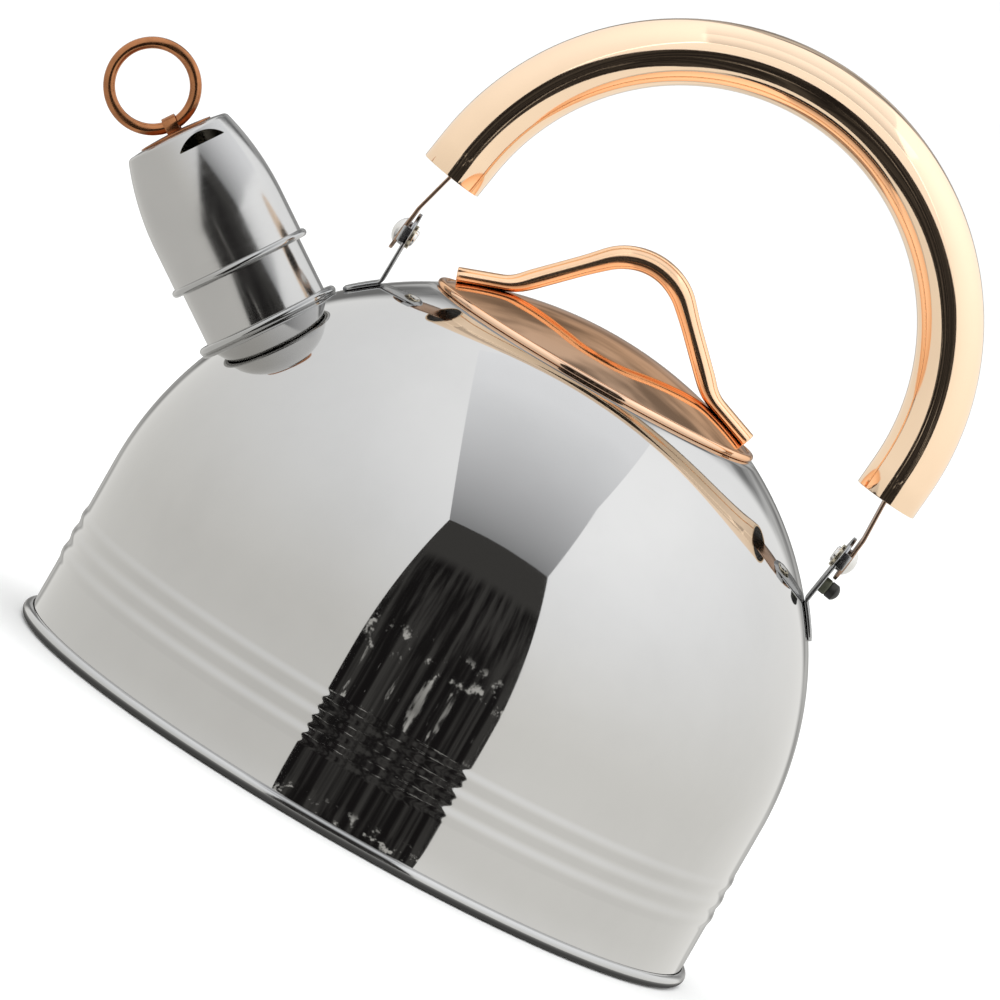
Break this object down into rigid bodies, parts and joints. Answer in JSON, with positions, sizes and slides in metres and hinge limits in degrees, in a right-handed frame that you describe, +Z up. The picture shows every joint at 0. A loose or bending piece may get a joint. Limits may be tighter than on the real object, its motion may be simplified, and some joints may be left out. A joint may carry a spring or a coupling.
{
  "type": "stovetop whistling kettle",
  "caption": "Domed steel stovetop kettle with an angled spout, lift-off whistle cap with pull ring, lift-off lid and fold-down tubular handle.",
  "frame": {"origin": "middle of the underside of the base, on the body's axis", "axes": "+Z up; the spout points to -X; the front is -Y; the handle folds down towards +Y"},
  "size_m": [0.2683, 0.214, 0.2475],
  "materials": {
    "polished_steel": "mirror-polished stainless sheet with faint drawing marks",
    "satin_steel": "plain rolled stainless sheet, unpolished inside faces",
    "cap_steel": "semi-polished stainless sheet",
    "strip_steel": "bent stainless strip",
    "rivet_steel": "bright headed rivet",
    "washer_brass": "thin pale washer",
    "copper_tone": "mirror-polished steel with a rose-gold coating",
    "strap_copper": "thin strap with the same rose-gold coating",
    "ring_copper": "darker polished copper coating",
    "spreader_aluminium": "plain pressed disc",
    "buffer_rubber": "soft black rubber",
    "plug_plastic": "black heat-resistant plastic"
  },
  "bodies": {
    "kettle": {"body_shell": "polished_steel", "base_pan": "polished_steel", "heat_spreader": "spreader_aluminium", "base_cover": "satin_steel", "spout_tube": "polished_steel", "spout_collar": "polished_steel", "bracket_left": "strip_steel", "bracket_right": "strip_steel", "rivet_left": "rivet_steel", "rivet_right": "rivet_steel", "spacer_left": "strip_steel", "spacer_right": "strip_steel", "washer_left": "washer_brass", "washer_right": "washer_brass", "stud_base": "strip_steel", "stud_buffer": "buffer_rubber"},
    "handle": {"handle_grip": "copper_tone", "handle_strap": "strap_copper", "grip_plug_left": "plug_plastic", "grip_plug_right": "plug_plastic"},
    "lid": {"lid_shell": "copper_tone", "lid_skirt": "satin_steel", "lid_knob": "copper_tone"},
    "cap": {"cap_shell": "cap_steel", "cap_bead": "polished_steel", "whistle_disc_lower": "satin_steel", "whistle_disc_upper": "satin_steel", "cap_plate": "ring_copper", "ring_staple": "ring_copper"},
    "ring": {"pull_ring": "ring_copper"}
  },
  "joints": [
    {"name": "handle_fold", "type": "hinge", "parent": "kettle", "child": "handle", "pos_m": [0.0108, 0, 0.13648], "axis": [-0.9927, 0, 0.1209], "range_deg": [0, 104]},
    {"name": "lid_lift", "type": "slide", "parent": "kettle", "child": "lid", "axis": [0, 0, 1], "range_m": [0, 0.03]},
    {"name": "cap_pull", "type": "slide", "parent": "kettle", "child": "cap", "axis": [-0.8271, 0, 0.5621], "range_m": [0, 0.03]},
    {"name": "ring_swing", "type": "hinge", "parent": "cap", "child": "ring", "pos_m": [-0.13731, 0, 0.13937], "axis": [0.5621, 0, 0.8271], "range_deg": [-85, 85]}
  ]
}
